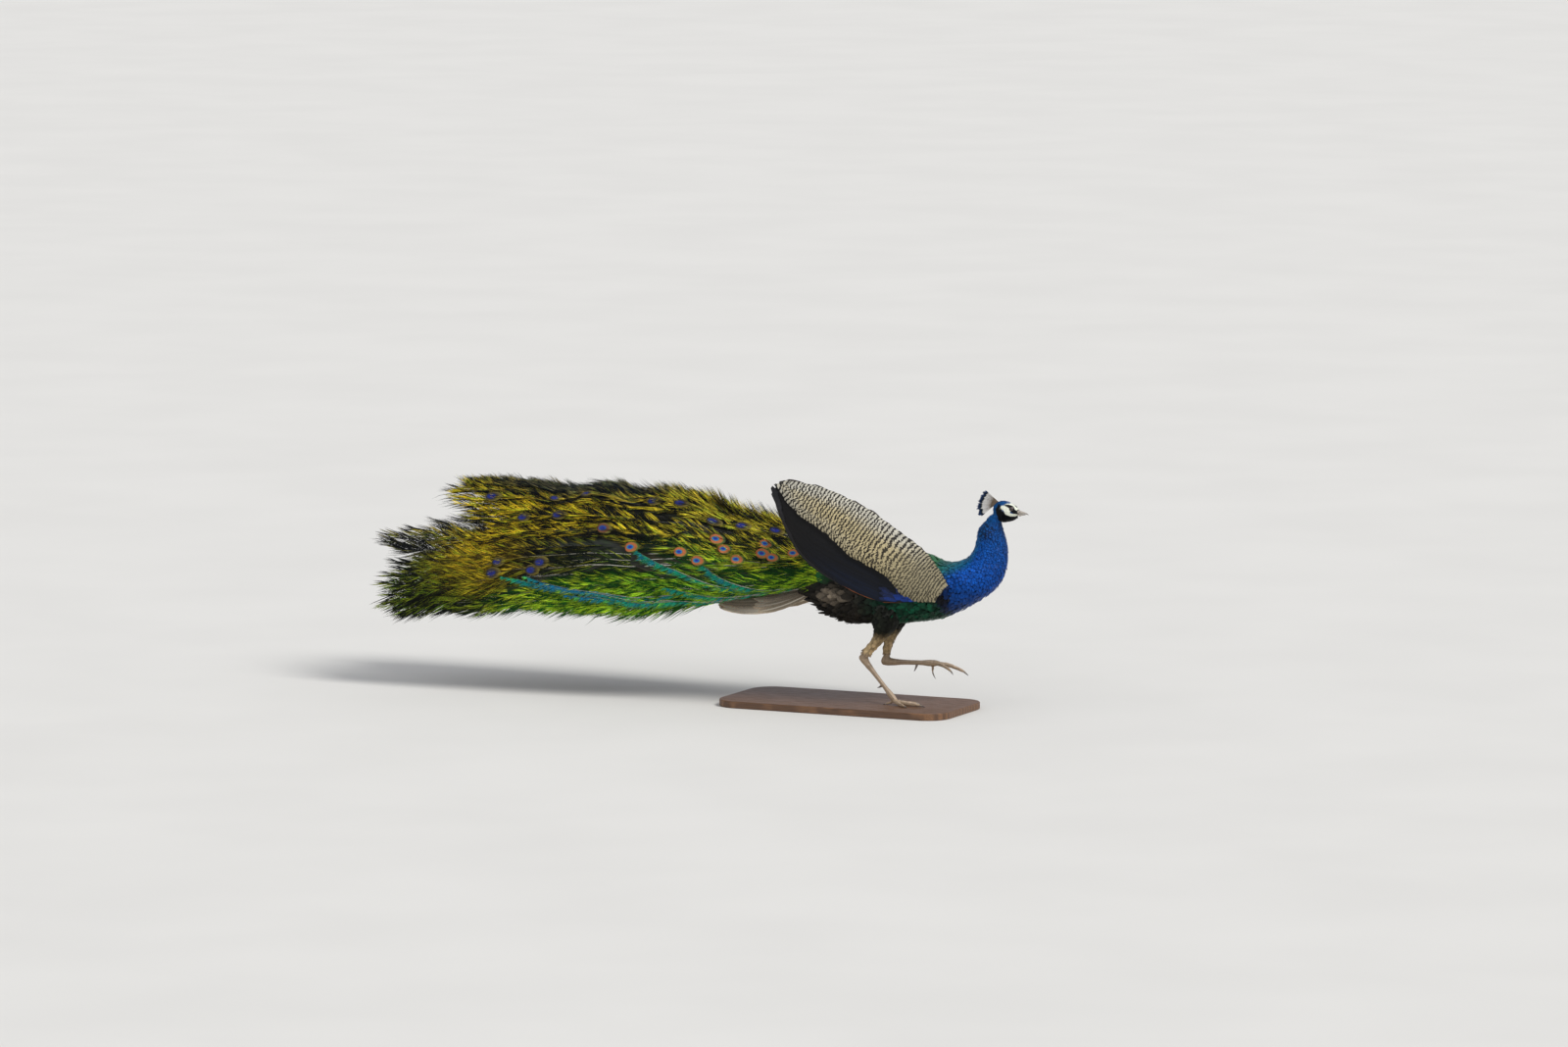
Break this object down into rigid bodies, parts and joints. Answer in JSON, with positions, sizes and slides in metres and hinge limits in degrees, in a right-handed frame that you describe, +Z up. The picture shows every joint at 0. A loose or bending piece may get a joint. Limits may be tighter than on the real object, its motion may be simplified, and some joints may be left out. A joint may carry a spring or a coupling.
{
  "type": "running peacock museum model",
  "caption": "Life-size running peacock with raised wings and a long eyed train streaming behind, standing on one foot on a flat base.",
  "frame": {"origin": "middle of the display base's flat underside", "axes": "+X forward, the way the bird runs; +Y to the bird's left; +Z up"},
  "size_m": [1.8022, 0.391, 0.5928],
  "materials": {
    "stand_wood": "satin dark wood, edges lightly chamfered",
    "blue_plumage": "skin under cobalt-blue plumage with a silky sheen",
    "crest_plumage": "bare pale shafts with small blue-green tips",
    "body_plumage": "skin under dark plumage with a green gloss",
    "wing_shield": "buff plumage with fine wavy dark bars",
    "wing_dark": "blue-black flight feathers",
    "wing_rust": "chestnut flight feathers",
    "tail_plumage": "grey-brown tail feathers, matt",
    "train_plumage": "bronze-green eyed feathers with a metallic sheen",
    "leg_skin": "scaly grey-tan skin",
    "horn": "pale grey-brown horn",
    "claw": "dark horn",
    "eye": "dark brown, wet gloss"
  },
  "bodies": {
    "root": {"stand_base": "stand_wood", "head": "blue_plumage", "bill_upper": "horn", "bill_lower": "horn", "crest": "crest_plumage", "eye_left": "eye", "eye_right": "eye", "neck_upper": "blue_plumage", "neck_lower": "blue_plumage", "breast": "blue_plumage", "trunk": "body_plumage", "rump": "body_plumage", "tail": "tail_plumage", "train_1": "train_plumage", "train_2": "train_plumage", "train_3": "train_plumage", "train_4": "train_plumage", "train_5": "train_plumage", "train_6": "train_plumage", "train_7": "train_plumage", "train_8": "train_plumage", "train_9": "train_plumage", "train_root_1": "train_plumage", "train_root_2": "train_plumage", "train_root_3": "train_plumage", "train_root_4": "train_plumage", "thigh_left": "body_plumage", "shank_left": "leg_skin", "spur_left": "horn", "toe_middle_left": "leg_skin", "claw_middle_left": "claw", "toe_inner_left": "leg_skin", "claw_inner_left": "claw", "toe_outer_left": "leg_skin", "claw_outer_left": "claw", "toe_hind_left": "leg_skin", "claw_hind_left": "claw", "wing_coverts_left": "wing_shield", "wing_secondaries_left": "wing_dark", "wing_primaries_left": "wing_rust", "upper_arm_left": "body_plumage", "thigh_right": "body_plumage", "shank_right": "leg_skin", "spur_right": "horn", "toe_middle_right": "leg_skin", "claw_middle_right": "claw", "toe_inner_right": "leg_skin", "claw_inner_right": "claw", "toe_outer_right": "leg_skin", "claw_outer_right": "claw", "toe_hind_right": "leg_skin", "claw_hind_right": "claw", "wing_coverts_right": "wing_shield", "wing_secondaries_right": "wing_dark", "wing_primaries_right": "wing_rust", "upper_arm_right": "body_plumage"}
  },
  "joints": []
}
